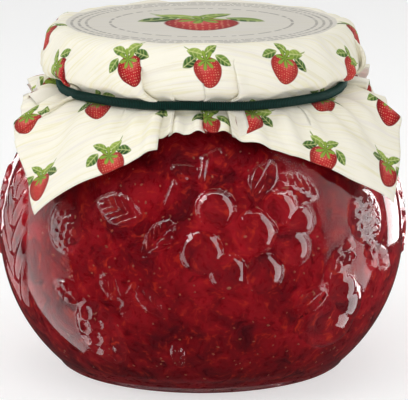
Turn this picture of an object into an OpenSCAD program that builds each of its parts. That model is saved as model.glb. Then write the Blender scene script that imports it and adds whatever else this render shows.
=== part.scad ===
// Round jam jar: embossed glass, jam filling, twist-off lid, square printed cloth and an elastic cord.
// Millimetres. Z is up, the origin is the centre of the base and the front of the jar faces -Y.

/* [Jar] */
// Widest diameter of the glass body
body_width = 112; // [100:1:135]
// Height of the widest place above the base
belly_height = 38; // [32:0.5:46]
// Radius of the arc that forms the side of the body
belly_radius = 48; // [47:0.5:54]
// Thickness of the glass wall
wall = 3.5; // [2.5:0.25:4.5]
// Thickness of the glass base
base_thickness = 5; // [3:0.5:8]
// Outer diameter of the neck below the lid
neck_width = 74; // [62:0.5:89]
// Height of the neck from the shoulder to the rim
neck_height = 18.2; // [16.5:0.1:24]

/* [Embossing] */
// How far the middle of a round fruit stands out of the glass
fruit_relief = 2.4; // [1.2:0.1:2.8]
// How far a leaf stands out of the glass
leaf_relief = 0.7; // [0.4:0.1:1.2]

/* [Lid] */
// How far the side of the lid stands out past the neck
lid_overhang = 4.9; // [4.3:0.1:6]
// Height of the side of the lid
lid_height = 10.5; // [8:0.5:12.5]
// Thickness of the lid metal
lid_metal = 0.5; // [0.3:0.1:0.8]

/* [Jam] */
// Air left between the jam and the lid
air_gap = 3.5; // [2.5:0.5:3.5]

/* [Cloth cover] */
// How far the cloth reaches past the cord at the middle of each side
skirt_drop = 8; // [6:0.5:14]
// Thickness of the cloth
cloth_thickness = 0.6; // [0.4:0.1:0.8]
// How far the square is turned about the jar
cloth_turn = 2; // [-20:1:20]
// How far the folds of the skirt stand off its lowest places
fold_depth = 2.5; // [0:0.5:4]

/* [Cord] */
// Thickness of the elastic cord
cord_thickness = 2.6; // [2:0.1:3.2]

/* [Hidden] */
$fn = 96;

// Clearances between parts that fit one another
jam_clearance = 0.1;
cloth_clearance = 0.1;
finish_clearance = 0.5;
cord_clearance = 0.05;
skirt_gap = 0.05;

// Body: an arc swung about the axis
arc_centre = body_width / 2 - belly_radius;
neck_radius = neck_width / 2;
shoulder_height = belly_height + sqrt(belly_radius ^ 2 - (neck_radius - arc_centre) ^ 2);
rim_height = shoulder_height + neck_height;
lid_radius = neck_radius + lid_overhang;
finish_radius = lid_radius - lid_metal - finish_clearance;
// The lid reaches this far below the lower edge of the finish
lid_reach = 2;
finish_bottom = rim_height - lid_height + lid_reach;

// Round fruits: bands of the dome, and how far round the dome runs before its flat top
dome_bands = 3;
dome_open = 72;

// Rounded corner at the top of the glass finish
finish_corner = 2.2;

// Lid: its top corner is rounded and a rolled curl closes its lower edge
lid_corner = 2.9;
curl_radius = 0.9;
lid_top = rim_height + lid_metal;
panel_step = 0.8;

// Cloth: it lies on the lid, turns down over its edge, runs in under the cord and spreads again
// Room between the shoulder and the cord for the start of the skirt
cord_stand = 1.45;
cord_height = shoulder_height + cord_stand + cord_thickness / 2;
edge_radius = lid_corner + cloth_clearance;
cloth_top = lid_top + cloth_clearance;
cloth_inner = lid_radius + cloth_clearance;
cinch_radius = neck_radius + cloth_clearance;
band_bottom = rim_height - lid_height;
band_drop = band_bottom - cord_height - cord_thickness / 2;
cord_ring = cinch_radius + cloth_thickness + cord_clearance + cord_thickness / 2;
steps_round = 96;
steps_edge = 4;
steps_tuck = 4;
steps_skirt = 7;

// The skirt leaves the cord at a slope below level, in degrees, and bends down with its length:
// at the front and back it lies close along the shoulder of the glass
skirt_clearance = 2;
skirt_lift = 3;
front_slope = asin((neck_radius - arc_centre) / belly_radius) - skirt_lift;
side_slope = front_slope / 4;
bend_per_mm = 180 / PI / (belly_radius + skirt_clearance);
skirt_top = cord_height - cord_thickness / 2 - cloth_thickness - skirt_gap;
// Length of cloth from the middle of the lid to the start of the skirt
used_length = cloth_inner - edge_radius + edge_radius * PI / 2
    + (cloth_top - edge_radius - band_bottom)
    + norm([cloth_inner - cinch_radius, band_drop]) + cord_thickness;

cloth_side = 2 * (used_length + skirt_drop);

// Half length of the square in one direction, and the length of skirt that is left there
function half_square(a) = cloth_side / 2 / max(abs(cos(a)), abs(sin(a)));
function skirt_length(a) = half_square(a) - used_length;
// The short sides to the left and right stick out further than those at the front and back
function skirt_slope(a) = side_slope * cos(a) ^ 2 + front_slope * sin(a) ^ 2;
// Folds: eight waves round the skirt, deepest at its edge
function fold_wave(a) = (1 - cos(8 * a)) / 2;

// One place on the inner (lift = 0) or outer (lift = thickness) face, as [radius, height]
function skirt_point(a, t, lift) =
    let (from = skirt_slope(a))
    let (to = from + bend_per_mm * t * skirt_length(a))
    let (turn = bend_per_mm * PI / 180)
    let (stand = fold_depth * t * fold_wave(a) + lift)
    t == 0 ? [cinch_radius + lift, skirt_top + lift]
    : [
        cinch_radius + (sin(to) - sin(from)) / turn + stand * sin(to),
        skirt_top + (cos(to) - cos(from)) / turn + stand * cos(to)
    ];
function edge_point(q, lift) =
    let (r = edge_radius + lift)
    [cloth_inner - edge_radius + r * sin(90 * q), cloth_top - edge_radius + r * cos(90 * q)];
function tuck_point(q, lift) =
    let (s = (1 - cos(180 * q)) / 2)
    [cloth_inner + (cinch_radius - cloth_inner) * s + lift, band_bottom - band_drop * q];

row_count = steps_edge + 2 + steps_tuck + steps_skirt;
function row_point(row, a, lift) =
    row <= steps_edge ? edge_point(row / steps_edge, lift)
    : row <= steps_edge + 1 + steps_tuck
        ? tuck_point((row - steps_edge - 1) / steps_tuck, lift)
        : skirt_point(a, (row - steps_edge - 2 - steps_tuck) / steps_skirt, lift);

// Places of the raised fruits: turn from the front, height and radius of the visible cap
bunch = [
    [4, 54.5, 5.5], [15, 48.5, 6], [0, 43.5, 5.8], [7, 38, 5.2],
    [23, 54, 4.8], [28.5, 50.5, 4.3], [25.5, 43.5, 4.8], [17, 37.5, 5.4]
];
side_fruits = [
    [43, 21, 8.5], [38.5, 29, 5], [51, 48, 6.8], [-43, 46, 5], [-30, 19, 8]
];
// Places of the raised leaves: turn from the front, height, length, width and lean from upright
leaves = [
    [19.5, 60, 11, 6, -30], [-12, 47, 13, 7, -38], [-24, 54, 14, 6, 75],
    [-62, 41, 26, 8, 5], [50, 35, 14, 8, 50], [30, 28, 12, 5, -50],
    [-40, 29.5, 9, 5, 50], [-18, 31, 12, 7, 40], [-7, 14, 10, 4, 0]
];

// A rectangle from the axis outwards with its outer top corner rounded
module round_corner(width, height, corner) {
    square([width - corner, height]);
    square([width, height - corner]);
    translate([width - corner, height - corner])
        circle(r = corner);
}

// Side view of the body and neck, drawn in by the given amount
module body_outline(inset) {
    intersection() {
        translate([arc_centre, belly_height])
            circle(r = belly_radius - inset);
        square([body_width, shoulder_height]);
    }
    translate([0, belly_height])
        square([neck_radius - inset, finish_bottom - belly_height]);
}

// Moves things that stand along X out to a place on the arc of the body
module on_glass(turn, height, depth) {
    rotate([0, 0, turn - 90])
        translate([arc_centre, 0, belly_height])
            rotate([0, -asin((height - belly_height) / belly_radius), 0])
                translate([belly_radius - depth, 0, 0])
                    children();
}

// A low dome built from three conical bands, sunk a little way into the wall
module round_fruit(place) {
    cap = place[2];
    sunk = wall / 2;
    on_glass(place[0], place[1], sunk)
        rotate([0, 90, 0])
            rotate_extrude()
                polygon([
                    [0, 0],
                    [cap, 0],
                    for (q = [0 : dome_bands])
                        [cap * cos(dome_open * q / dome_bands),
                        sunk + fruit_relief * sin(dome_open * q / dome_bands)],
                    [0, sunk + fruit_relief * sin(dome_open)]
                ]);
}

module leaf_shape(length, width) {
    bend = (length * length + width * width) / (4 * width);
    intersection() {
        translate([0, bend - width / 2])
            circle(r = bend);
        translate([0, width / 2 - bend])
            circle(r = bend);
    }
}

module leaf_block(place) {
    on_glass(place[0], place[1], wall)
        rotate([0, 90, 0])
            rotate([0, 0, place[4]])
                linear_extrude(2 * wall + leaf_relief)
                    leaf_shape(place[2], place[3]);
}

module raised_leaves() {
    intersection() {
        rotate_extrude()
            intersection() {
                translate([arc_centre, belly_height])
                    circle(r = belly_radius + leaf_relief);
                square([body_width, shoulder_height]);
            }
        union() {
            for (half = [0, 180])
                for (place = leaves)
                    leaf_block([place[0] + half, place[1], place[2], place[3], place[4]]);
        }
    }
}

module glass_jar() {
    color([0.9, 0.94, 0.93, 0.35])
    difference() {
        union() {
            rotate_extrude() {
                intersection() {
                    body_outline(0);
                    square([body_width, rim_height]);
                }
                // finish that the lid closes on
                translate([0, finish_bottom])
                    round_corner(finish_radius, rim_height - finish_bottom, finish_corner);
            }
            for (half = [0, 180])
                for (place = concat(bunch, side_fruits))
                    round_fruit([place[0] + half, place[1], place[2]]);
            raised_leaves();
        }
        // cavity
        rotate_extrude() {
            intersection() {
                body_outline(wall);
                translate([0, base_thickness])
                    square([body_width, rim_height]);
            }
            translate([0, finish_bottom - 1])
                square([neck_radius - wall, lid_height + 2]);
        }
    }
}

module jam() {
    color([0.45, 0.02, 0.04])
    rotate_extrude() {
        intersection() {
            body_outline(wall + jam_clearance);
            translate([0, base_thickness])
                square([body_width, rim_height - air_gap - base_thickness]);
        }
        translate([0, belly_height])
            square([neck_radius - wall - jam_clearance, rim_height - air_gap - belly_height]);
    }
}

module lid() {
    color([0.85, 0.83, 0.78])
    rotate_extrude() {
        difference() {
            translate([0, rim_height - lid_height])
                round_corner(lid_radius, lid_height + lid_metal, lid_corner);
            translate([0, rim_height - lid_height])
                round_corner(lid_radius - lid_metal, lid_height, lid_corner - lid_metal);
            // shallow well in the middle of the panel
            translate([-1, lid_top - lid_metal / 2])
                square([neck_radius - wall + 1, lid_metal]);
        }
        // rolled lower edge, turned inwards
        translate([lid_radius - curl_radius, rim_height - lid_height + curl_radius])
            circle(r = curl_radius);
        // panel let down inside the mouth of the glass
        translate([0, rim_height - panel_step])
            square([neck_radius - wall - panel_step, panel_step + lid_metal / 2]);
    }
}

module cover() {
    top_inner = [0, 0, cloth_top];
    top_outer = [0, 0, cloth_top + cloth_thickness];
    face_points = [
        for (lift = [0, cloth_thickness])
            for (row = [0 : row_count])
                for (i = [0 : steps_round - 1])
                    let (a = i * 360 / steps_round)
                    let (p = row_point(row, a, lift))
                    [p[0] * cos(a), p[0] * sin(a), p[1]]
    ];
    rows = row_count + 1;
    inner_mid = 2 * rows * steps_round;
    outer_mid = inner_mid + 1;
    faces = [
        for (i = [0 : steps_round - 1])
            let (j = (i + 1) % steps_round)
            let (o = rows * steps_round)
            each [
                [inner_mid, i, j],
                [outer_mid, o + j, o + i],
                for (row = [0 : row_count - 1])
                    let (m = row * steps_round)
                    let (n = m + steps_round)
                    each [
                        [m + i, n + i, n + j],
                        [m + i, n + j, m + j],
                        [o + m + i, o + n + j, o + n + i],
                        [o + m + i, o + m + j, o + n + j]
                    ],
                [
                    row_count * steps_round + i,
                    o + row_count * steps_round + i,
                    o + row_count * steps_round + j
                ],
                [
                    row_count * steps_round + i,
                    o + row_count * steps_round + j,
                    row_count * steps_round + j
                ]
            ]
    ];
    color([0.95, 0.94, 0.87])
    rotate([0, 0, cloth_turn])
        polyhedron(concat(face_points, [top_inner, top_outer]), faces);
}

module elastic() {
    color([0.03, 0.2, 0.17])
    translate([0, 0, cord_height])
        rotate_extrude()
            translate([cord_ring, 0])
                circle(d = cord_thickness);
}

glass_jar();
jam();
lid();
cover();
elastic();
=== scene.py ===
import math

import bpy
import numpy as np
from mathutils import Matrix, Vector


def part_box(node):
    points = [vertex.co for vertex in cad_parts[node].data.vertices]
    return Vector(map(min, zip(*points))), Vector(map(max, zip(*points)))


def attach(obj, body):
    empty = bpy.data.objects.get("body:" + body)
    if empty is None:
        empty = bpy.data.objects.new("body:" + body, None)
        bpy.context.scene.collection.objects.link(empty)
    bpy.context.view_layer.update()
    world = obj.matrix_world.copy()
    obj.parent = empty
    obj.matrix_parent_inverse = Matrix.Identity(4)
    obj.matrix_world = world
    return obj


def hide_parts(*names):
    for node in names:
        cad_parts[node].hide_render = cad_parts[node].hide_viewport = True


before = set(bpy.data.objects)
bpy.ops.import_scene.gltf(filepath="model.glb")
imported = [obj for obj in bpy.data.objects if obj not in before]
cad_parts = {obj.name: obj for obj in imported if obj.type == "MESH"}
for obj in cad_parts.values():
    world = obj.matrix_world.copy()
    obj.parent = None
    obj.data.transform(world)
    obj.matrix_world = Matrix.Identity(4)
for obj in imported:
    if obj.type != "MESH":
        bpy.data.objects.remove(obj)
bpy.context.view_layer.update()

MM = 0.001
rng = np.random.default_rng(7)

# ---------------------------------------------------------------- sizes of the jar, in mm

glass_high = np.array(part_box("glass_jar")[1]) / MM
jam_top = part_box("jam")[1].z / MM
lid_low, lid_high = (np.array(corner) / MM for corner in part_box("lid"))
cord_low, cord_high = (np.array(corner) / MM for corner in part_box("elastic"))
cover_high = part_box("cover")[1].z / MM

RIM_HEIGHT = glass_high[2]
BELLY_HEIGHT = 38.0
BELLY_ARC = 48.0
ARC_CENTRE = 8.0
WALL = 3.5
BASE_THICKNESS = 5.0
NECK_RADIUS = 37.0
SHOULDER_HEIGHT = BELLY_HEIGHT + math.sqrt(BELLY_ARC ** 2 - (NECK_RADIUS - ARC_CENTRE) ** 2)
LID_RADIUS = lid_high[0]
CORD_HEIGHT = (cord_low[2] + cord_high[2]) / 2
CORD_THICKNESS = cord_high[2] - cord_low[2]
CORD_RING = cord_high[0] - CORD_THICKNESS / 2
CORD_RIBS = 520


# ---------------------------------------------------------------- helpers

def smooth_step(x, low, high):
    t = np.clip((x - low) / (high - low), 0.0, 1.0)
    return t * t * (3.0 - 2.0 * t)


def mesh_piece(name, points_mm, faces, material, smooth=True):
    mesh = bpy.data.meshes.new(name)
    mesh.from_pydata((np.asarray(points_mm) * MM).tolist(), [], faces)
    mesh.validate()
    mesh.update()
    if smooth:
        mesh.polygons.foreach_set("use_smooth", [True] * len(mesh.polygons))
    piece = bpy.data.objects.new(name, mesh)
    bpy.context.scene.collection.objects.link(piece)
    mesh.materials.append(material)
    return piece


def ring_faces(rows, columns, first=0):
    faces = []
    for row in range(rows - 1):
        low = first + row * columns
        for i in range(columns):
            j = (i + 1) % columns
            faces.append((low + i, low + j, low + columns + j, low + columns + i))
    return faces


def fan_faces(ring, columns, tip, last):
    """Triangles between a ring and one middle point, after the last ring or before the first."""
    faces = []
    for i in range(columns):
        j = (i + 1) % columns
        faces.append((ring + i, ring + j, tip) if last else (tip, ring + j, ring + i))
    return faces


def closed_faces(rows, columns):
    """Rings closed by two middle points that come after them: the first ring's, then the last's."""
    count = rows * columns
    return (ring_faces(rows, columns) + fan_faces(0, columns, count, False)
            + fan_faces(count - columns, columns, count + 1, True))


def linear_colour(hex_colour):
    channels = [int(hex_colour[i:i + 2], 16) / 255 for i in (1, 3, 5)]
    return tuple(
        c / 12.92 if c <= 0.04045 else ((c + 0.055) / 1.055) ** 2.4 for c in channels
    ) + (1.0,)


# ---------------------------------------------------------------- node materials

WHITE = (1.0, 1.0, 1.0, 1.0)


def node_adder(tree):
    """Gives the one function that adds a node to this tree."""
    def node(kind, inputs=(), out=None, **settings):
        """Adds a node with its settings, fills or links its inputs by name or in order, gives an output."""
        made = tree.nodes.new("ShaderNode" + kind)
        for key, value in settings.items():
            setattr(made, key, value)
        in_order = [socket for socket in made.inputs if socket.enabled]
        pairs = inputs.items() if isinstance(inputs, dict) else enumerate(inputs)
        for key, value in pairs:
            socket = in_order[key] if isinstance(key, int) else made.inputs[key]
            if isinstance(value, bpy.types.NodeSocket):
                tree.links.new(value, socket)
            else:
                socket.default_value = value
        if out:
            return made.outputs[out]
        return next((socket for socket in made.outputs if socket.enabled), None)
    return node


def new_material(name):
    material = bpy.data.materials.new(name)
    material.use_nodes = True
    material.node_tree.nodes.clear()
    return material, node_adder(material.node_tree)


def blotches(size):
    """Texture scale that makes blotches about this many mm across."""
    return 1.0 / (size * MM)


def pressed_glass():
    # Soda-lime glass pressed in a mould and fire polished: clear, with a faint ripple. The figures
    # are mirror bright, and the ground between them keeps a softer skin from the mould.
    material, node = new_material("pressed soda-lime glass")
    place = node("TexCoord", out="Object")
    raised = node("Attribute", attribute_name="raised", out="Fac")
    ripple = node("TexNoise", {"Vector": place, "Scale": blotches(11.1), "Detail": 1.0})
    bump = node("Bump", {"Strength": 0.04, "Distance": 0.5 * MM, "Height": ripple})
    smear = node("TexNoise", {"Vector": place, "Scale": blotches(16.7), "Detail": 2.0})
    skin = node("MapRange", {"Value": smear, "To Min": 0.03, "To Max": 0.1})
    ground = node("Math", [1.0, raised], operation="SUBTRACT")
    rough = node("Math", [skin, ground], operation="MULTIPLY")
    shine = node("Mix", [raised, linear_colour("#404040"), WHITE], data_type="RGBA")
    surface = node("BsdfPrincipled", {
        "Base Color": linear_colour("#fdfefd"), "IOR": 1.5, "Transmission Weight": 1.0,
        "Roughness": rough, "Specular Tint": shine, "Normal": bump})
    clear = node("BsdfTransparent", {"Color": linear_colour("#f6faf7")})
    # light from the lamps passes straight through to the jam instead of being blocked
    shadow_ray = node("LightPath", out="Is Shadow Ray")
    node("OutputMaterial", {"Surface": node("MixShader", [shadow_ray, surface, clear])})
    return material


def fruit_jam():
    # Jam boiled from whole fruit: a wet dark red jelly with paler pulp lit from inside and
    # darker cooked skins, so it is blotchy at 2 to 10 mm and never one red.
    material, node = new_material("fruit jam")
    place = node("TexCoord", out="Object")
    warp = node("TexNoise", {"Vector": place, "Scale": blotches(9.1), "Detail": 3.0}, out="Color")
    bent = node("VectorMath", [warp, (12.0 * MM, 12.0 * MM, 12.0 * MM), place], operation="MULTIPLY_ADD")
    broad = node("TexNoise", {"Vector": bent, "Scale": blotches(9.52), "Detail": 5.0, "Roughness": 0.62})
    pulp = node("TexNoise", {"Vector": bent, "Scale": blotches(2.326), "Detail": 5.0, "Roughness": 0.6})
    tone = node("ValToRGB", [broad])
    ramp = tone.node.color_ramp
    ramp.elements[0].position = 0.34
    ramp.elements[0].color = linear_colour("#5a0410")
    ramp.elements[1].position = 0.74
    ramp.elements[1].color = linear_colour("#b41a26")
    middle = ramp.elements.new(0.52)
    middle.color = linear_colour("#8c0916")
    flesh = node("MapRange", [pulp, 0.56, 0.72, 0.0, 0.75])
    colour = node("Mix", [flesh, tone, linear_colour("#d0361f")], data_type="RGBA")
    skins = node("MapRange", [pulp, 0.43, 0.3, 0.0, 0.45])
    colour = node("Mix", [skins, colour, linear_colour("#2a030c")], data_type="RGBA")
    # the lowest 2 cm gets little light
    height = node("SeparateXYZ", [place]).node.outputs["Z"]
    sunk = node("MapRange", [height, 20.0 * MM, 0.0, 0.0, 0.4])
    colour = node("Mix", [sunk, colour, linear_colour("#2c040a")], data_type="RGBA")
    bump = node("Bump", {"Strength": 0.25, "Distance": 0.6 * MM, "Height": pulp})
    wet = node("MapRange", {"Value": pulp, "To Min": 0.18, "To Max": 0.4})
    surface = node("BsdfPrincipled", {
        "Base Color": colour, "Roughness": wet, "IOR": 1.36, "Specular IOR Level": 0.12,
        "Subsurface Weight": 0.35, "Subsurface Scale": 3.0 * MM, "Subsurface Radius": (1.0, 0.18, 0.12),
        "Normal": bump})
    node("OutputMaterial", {"Surface": surface})
    return material


def jam_seed():
    # Small hard fruit seeds: straw coloured with darker flecks, wet and a little glossy.
    material, node = new_material("fruit seed")
    place = node("TexCoord", out="Object")
    speck = node("TexNoise", {"Vector": place, "Scale": blotches(1.11), "Detail": 2.0})
    colour = node("Mix", [speck, linear_colour("#6e1c12"), linear_colour("#b8643a")], data_type="RGBA")
    rough = node("MapRange", {"Value": speck, "To Min": 0.25, "To Max": 0.5})
    bump = node("Bump", {"Strength": 0.2, "Distance": 0.1 * MM, "Height": speck})
    surface = node("BsdfPrincipled", {
        "Base Color": colour, "Roughness": rough, "Subsurface Weight": 0.2,
        "Subsurface Scale": 1.0 * MM, "Normal": bump})
    node("OutputMaterial", {"Surface": surface})
    return material


def lacquered_tinplate():
    # Tinplate pressed into a lid and lacquered: a soft ivory gloss over faint rolling marks.
    material, node = new_material("lacquered tinplate")
    place = node("TexCoord", out="Object")
    grain = node("TexNoise", {"Vector": place, "Scale": blotches(2.5), "Detail": 3.0})
    colour = node("Mix", [grain, linear_colour("#d8d2c2"), linear_colour("#e6e0d0")], data_type="RGBA")
    rough = node("MapRange", {"Value": grain, "To Min": 0.22, "To Max": 0.36})
    bump = node("Bump", {"Strength": 0.08, "Distance": 0.1 * MM, "Height": grain})
    surface = node("BsdfPrincipled", {
        "Base Color": colour, "Roughness": rough, "Metallic": 0.3, "Normal": bump})
    node("OutputMaterial", {"Surface": surface})
    return material


def woven_elastic():
    # Elastic cord: green yarn woven round rubber, a matt sheen with a tight cross rib whose valleys are
    # darkened as painted shade.
    material, node = new_material("woven elastic cord")
    place = node("TexCoord", out="Object")
    fuzz = node("TexNoise", {"Vector": place, "Scale": blotches(0.625), "Detail": 3.0})
    x, y, _ = node("SeparateXYZ", [place]).node.outputs
    turn = node("Math", [y, x], operation="ARCTAN2")
    ribs = node("Math", [turn, float(CORD_RIBS)], operation="MULTIPLY")
    ribs = node("Math", [ribs], operation="COSINE")
    # painted shade: the valleys between the cross ribs are darkened to near black, as if the ribs shade
    # them; the crests keep the yarn colour
    crest = node("MapRange", [ribs, 0.8, -0.8])
    yarn = node("Mix", [fuzz, linear_colour("#052823"), linear_colour("#124a41")], data_type="RGBA")
    colour = node("Mix", [crest, linear_colour("#010d0c"), yarn], data_type="RGBA")
    rough = node("MapRange", {"Value": fuzz, "To Min": 0.5, "To Max": 0.8})
    bump = node("Bump", {"Strength": 0.35, "Distance": 0.1 * MM, "Height": fuzz})
    surface = node("BsdfPrincipled", {
        "Base Color": colour, "Roughness": rough, "Specular IOR Level": 0.15,
        "Sheen Weight": 0.05, "Sheen Roughness": 0.4, "Normal": bump})
    node("OutputMaterial", {"Surface": surface})
    return material


# The print on the cloth, in mm of flat cloth: columns of fruits, every second one let down a little
PRINT_ACROSS = 21.5
PRINT_DOWN = 20.0
ODD_DROP = 5.0
CORE_ROW = -46.0
PANEL_RADIUS = 37.2
PANEL_FRUIT = 2.7
# Rings of dashes on the panel: radius, and how often the dashes change on the way round
PANEL_RINGS = ((35.6, 95.0), (33.6, 88.0), (31.6, 82.0), (25.0, 34.0))
# Leaves of one printed fruit: middle, turn in radians, length, width, light and deep green
PRINTED_LEAVES = (
    ((-4.4, 1.9), 0.5, 4.8, 2.8, "#54763a", "#1f4026"),
    ((-2.5, 4.1), -0.35, 4.8, 2.4, "#a8bb5c", "#5d7f36"),
    ((1.4, 4.5), 0.6, 4.4, 2.2, "#92ab4e", "#43682e"),
    ((4.5, 1.8), -0.6, 4.8, 2.5, "#7f9c48", "#31582a"),
)


def printed_leaf(node, cloth, spot, middle, angle, length, width, pale, deep):
    """Lays one pointed leaf with light veins on the cloth colour; spot is in mm of flat cloth."""
    on_leaf = node("Mapping", {"Vector": spot, "Location": (*middle, 0.0),
                               "Rotation": (0.0, 0.0, angle)}, vector_type="TEXTURE")
    along, over, _ = node("SeparateXYZ", [on_leaf]).node.outputs
    part = node("Math", [along, length / 2], operation="DIVIDE")
    square = node("Math", [part, part], operation="MULTIPLY")
    half = node("Math", [square, -width / 2, width / 2], operation="MULTIPLY_ADD")
    side = node("Math", [over], operation="ABSOLUTE")
    outside = node("Math", [side, half], operation="SUBTRACT")
    leaf = node("MapRange", [outside, -0.12, 0.1, 1.0, 0.0])
    shade = node("MapRange", [over, -width / 2, width / 2])
    green = node("Mix", [shade, linear_colour(deep), linear_colour(pale)], data_type="RGBA")
    # side veins 1.1 mm apart that slant towards the tip, then the middle vein
    rise = node("Math", [along, 5.5], operation="MULTIPLY")
    slant = node("Math", [side, -4.0, rise], operation="MULTIPLY_ADD")
    veins = node("Math", [slant], operation="SINE")
    veins = node("MapRange", [veins, 0.2, 1.0, 0.0, 0.35])
    green = node("Mix", [veins, green, linear_colour("#d6e08c")], data_type="RGBA")
    middle_vein = node("MapRange", [side, 0.06, 0.22, 0.5, 0.0])
    green = node("Mix", [middle_vein, green, linear_colour("#e3e9a4")], data_type="RGBA")
    return node("Mix", [leaf, cloth, green], data_type="RGBA")


def printed_stem(node, cloth, across, up):
    """Lays a thin stem that bends up to the left."""
    square = node("Math", [across, across], operation="MULTIPLY")
    bend = node("Math", [square, 0.1, 3.4], operation="MULTIPLY_ADD")
    off = node("Math", [up, bend], operation="SUBTRACT")
    off = node("Math", [off], operation="ABSOLUTE")
    line = node("MapRange", [off, 0.1, 0.3, 1.0, 0.0])
    past = node("Math", [across, 2.6], operation="ADD")
    past = node("Math", [past], operation="ABSOLUTE")
    end = node("MapRange", [past, 2.4, 2.8, 1.0, 0.0])
    stem = node("Math", [line, end], operation="MULTIPLY")
    return node("Mix", [stem, cloth, linear_colour("#9aa863")], data_type="RGBA")


def printed_berry(node, cloth, spot, across, up, tint):
    """Lays the red fruit: round shoulders that narrow to a blunt tip, a glow, and pale seeds."""
    tall = node("Math", [up, 0.25, 0.3], operation="MULTIPLY_ADD")
    square = node("Math", [tall, tall], operation="MULTIPLY")
    room = node("Math", [1.0, square], operation="SUBTRACT")
    room = node("Math", [room, 0.0], operation="MAXIMUM")
    room = node("Math", [room], operation="SQRT")
    widest = node("Math", [tall, 0.9, 3.7], operation="MULTIPLY_ADD")
    half = node("Math", [room, widest], operation="MULTIPLY")
    side = node("Math", [across], operation="ABSOLUTE")
    outside = node("Math", [side, half], operation="SUBTRACT")
    inside = node("MapRange", [outside, -0.15, 0.12, 1.0, 0.0])
    drawn = node("Math", [room, 0.05], operation="GREATER_THAN")
    berry = node("Math", [inside, drawn], operation="MULTIPLY")
    rim = node("MapRange", [outside, -2.2, 0.0])
    red = node("Mix", [rim, linear_colour("#b81f28"), linear_colour("#760e18")], data_type="RGBA")
    from_glow = node("VectorMath", [spot, (0.5, -0.6, 0.0)], operation="ADD")
    far = node("VectorMath", [from_glow, from_glow], operation="DOT_PRODUCT")
    glow = node("MapRange", [far, 0.2, 5.5, 0.45, 0.0])
    red = node("Mix", [glow, red, linear_colour("#e58078")], data_type="RGBA")
    # seeds stand two thirds of a mm apart and stay clear of the outline
    dots = node("TexVoronoi", {"Vector": spot, "Scale": 1.5, "Randomness": 0.25})
    dots = node("MapRange", [dots, 0.14, 0.3, 1.0, 0.0])
    well_inside = node("MapRange", [outside, -0.7, -0.2, 0.65, 0.0])
    seeds = node("Math", [dots, well_inside], operation="MULTIPLY")
    red = node("Mix", [seeds, red, linear_colour("#eebf98")], data_type="RGBA")
    paler = node("Math", [tint, 0.3], operation="MULTIPLY")
    red = node("Mix", [paler, red, linear_colour("#dc6054")], data_type="RGBA")
    return node("Mix", [berry, cloth, red], data_type="RGBA")


def printed_fruit(node, cloth, spot, tint):
    """Lays one fruit with its stem, four leaves and leaf collar on the cloth colour."""
    across, up, _ = node("SeparateXYZ", [spot]).node.outputs
    cloth = printed_stem(node, cloth, across, up)
    for leaf in PRINTED_LEAVES:
        cloth = printed_leaf(node, cloth, spot, *leaf)
    cloth = printed_berry(node, cloth, spot, across, up, tint)
    # leaf collar: seven narrow points round the stalk
    from_stalk = node("VectorMath", [spot, (0.0, -1.9, 0.0)], operation="ADD")
    x, y, _ = node("SeparateXYZ", [from_stalk]).node.outputs
    points = node("Math", [y, x], operation="ARCTAN2")
    points = node("Math", [points, 3.5], operation="MULTIPLY")
    points = node("Math", [points], operation="COSINE")
    points = node("Math", [points], operation="ABSOLUTE")
    length = node("Math", [points, 1.9, 0.7], operation="MULTIPLY_ADD")
    reach = node("VectorMath", [from_stalk], operation="LENGTH")
    outside = node("Math", [reach, length], operation="SUBTRACT")
    collar = node("MapRange", [outside, -0.15, 0.15, 1.0, 0.0])
    green = node("Mix", [points, linear_colour("#3f5f26"), linear_colour("#8fa845")], data_type="RGBA")
    return node("Mix", [collar, cloth, green], data_type="RGBA")


def printed_repeat(node, ground, flat, across, down):
    """The cloth colour with the repeat of fruits; each is tipped a little, and some are mirrored."""
    column = node("Math", [across, PRINT_ACROSS], operation="DIVIDE")
    column = node("Math", [column], operation="ROUND")
    odd = node("Math", [column, 2.0], operation="FLOORED_MODULO")
    first = node("Math", [odd, ODD_DROP, CORE_ROW], operation="MULTIPLY_ADD")
    row = node("Math", [down, first], operation="SUBTRACT")
    row = node("Math", [row, PRINT_DOWN], operation="DIVIDE")
    row = node("Math", [row], operation="ROUND")
    middle_across = node("Math", [column, PRINT_ACROSS], operation="MULTIPLY")
    middle_down = node("Math", [row, PRINT_DOWN, first], operation="MULTIPLY_ADD")
    middle = node("CombineXYZ", [middle_across, middle_down, 0.0])
    cell = node("CombineXYZ", [column, row, 0.0])
    chance = node("TexWhiteNoise", {"Vector": cell}, out="Color", noise_dimensions="3D")
    tipped, swapped, tint = node("SeparateXYZ", [chance]).node.outputs
    tip = node("Math", [tipped, 0.5, -0.25], operation="MULTIPLY_ADD")
    swap = node("Math", [swapped, 0.6], operation="GREATER_THAN")
    swap = node("Math", [swap, -2.0, 1.0], operation="MULTIPLY_ADD")
    swap = node("CombineXYZ", [swap, 1.0, 1.0])
    spot = node("VectorMath", [flat, middle], operation="SUBTRACT")
    spot = node("VectorRotate", {"Vector": spot, "Angle": tip}, rotation_type="Z_AXIS", invert=True)
    spot = node("VectorMath", [spot, swap], operation="MULTIPLY")
    with_fruit = printed_fruit(node, ground, spot, tint)
    # no fruit where the panel is
    middle_reach = node("VectorMath", [middle], operation="LENGTH")
    clear = node("Math", [middle_reach, PANEL_RADIUS + 5.0], operation="GREATER_THAN")
    return node("Mix", [clear, ground, with_fruit], data_type="RGBA")


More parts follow.
